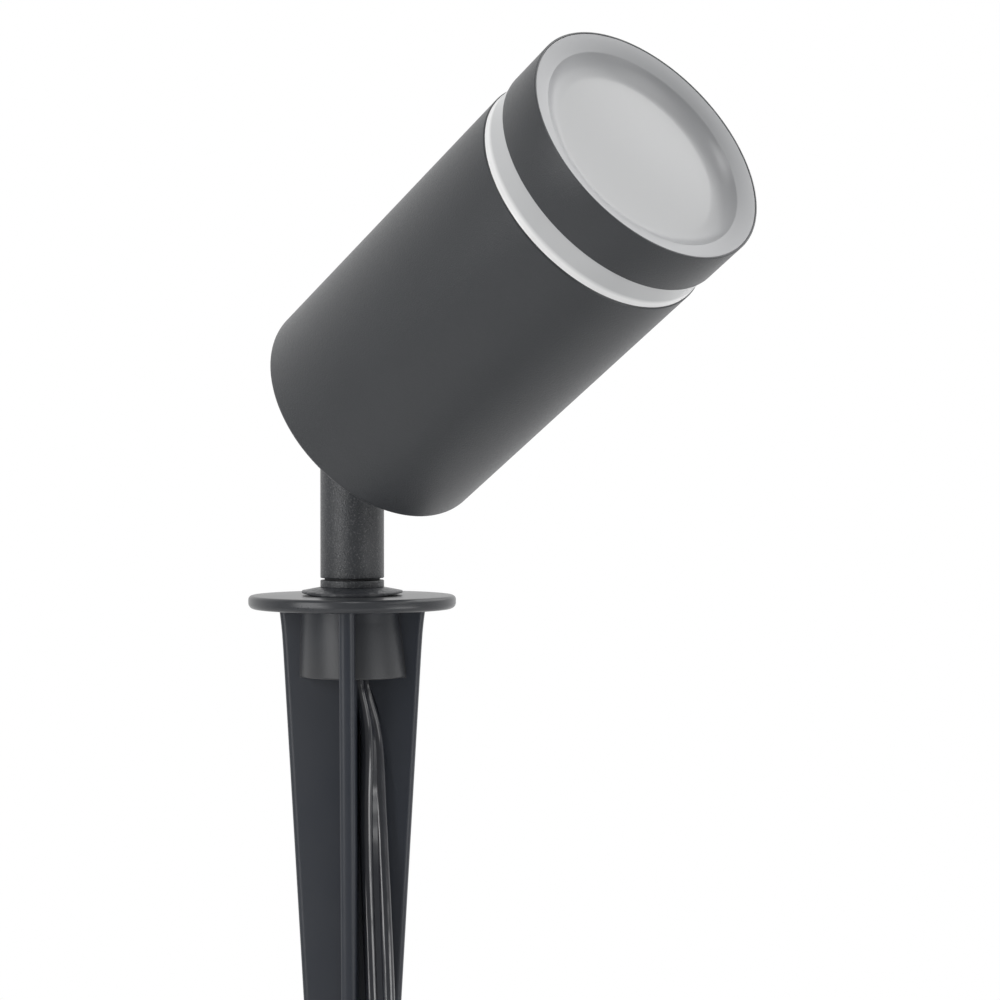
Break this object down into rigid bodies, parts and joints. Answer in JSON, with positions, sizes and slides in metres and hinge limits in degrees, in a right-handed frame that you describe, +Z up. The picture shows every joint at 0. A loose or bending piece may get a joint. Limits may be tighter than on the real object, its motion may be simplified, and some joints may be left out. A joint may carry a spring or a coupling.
{
  "type": "garden spike spotlight",
  "caption": "Tube-shaped garden spotlight with a frosted front and light ring, on a tilting, turning stem screwed to a finned ground stake, with a flat lead and connector.",
  "frame": {"origin": "centre of the underside of the stake's flange, which is ground level in use", "axes": "+Z up along the stake and stem; at rest the head leans towards -Y; +X along the tilt pivot"},
  "size_m": [0.1041, 0.147, 0.2892],
  "materials": {
    "powder_coat": "fine sand-textured powder coat, anthracite",
    "stake_plastic": "semi-gloss moulded plastic, blue-grey black",
    "frosted": "frosted translucent moulding",
    "rubber": "matt black rubber",
    "zinc_steel": "zinc-plated steel",
    "brass": "turned brass",
    "bare_aluminium": "turned aluminium, uncoated",
    "white_board": "white solder mask",
    "green_board": "green solder mask",
    "led": "yellow phosphor in a white frame",
    "black_component": "black moulded component",
    "capacitor_sleeve": "dark shrink sleeve",
    "terminal_blue": "blue moulded terminal block",
    "wire_red": "coloured wire insulation",
    "wire_brown": "coloured wire insulation",
    "cord_black": "glossy black cord sheath",
    "tie_black": "black tie band",
    "plated_contact": "plated contact barrel"
  },
  "bodies": {
    "base": {"swivel_washer": "rubber", "lock_collar": "powder_coat", "threaded_nipple": "zinc_steel", "stake_gasket": "rubber", "stake_washer": "zinc_steel", "stake_nut": "zinc_steel", "stake": "stake_plastic", "cord_gland": "rubber", "supply_wires": "wire_brown", "cord": "cord_black", "cord_coil": "cord_black", "coil_ties": "tie_black", "connector_body": "cord_black", "connector_barrel": "plated_contact"},
    "stem": {"pivot_washer": "rubber", "pivot_bolt": "zinc_steel", "bolt_washer": "zinc_steel", "stem": "powder_coat", "stem_wires": "wire_brown"},
    "head": {"head_housing": "powder_coat", "front_bezel": "powder_coat", "diffuser": "frosted", "diffuser_seal": "rubber", "heat_spreader": "bare_aluminium", "led_board": "white_board", "led_packages": "led", "board_screws": "zinc_steel", "standoffs": "brass", "driver_board": "green_board", "driver_choke": "black_component", "driver_capacitors": "capacitor_sleeve", "driver_chip": "black_component", "driver_terminal": "terminal_blue", "led_wires": "wire_red", "head_wires": "wire_brown", "knuckle_lug": "powder_coat", "lug_gasket": "rubber", "lug_washer": "zinc_steel", "lug_nut": "zinc_steel"}
  },
  "joints": [
    {"name": "pan", "type": "hinge", "parent": "base", "child": "stem", "pos_m": [0, 0, 0.00735], "axis": [0, 0, 1], "range_deg": [-170, 170]},
    {"name": "tilt", "type": "hinge", "parent": "stem", "child": "head", "pos_m": [0, 0, 0.04195], "axis": [1, 0, 0], "range_deg": [-148, 32]}
  ]
}
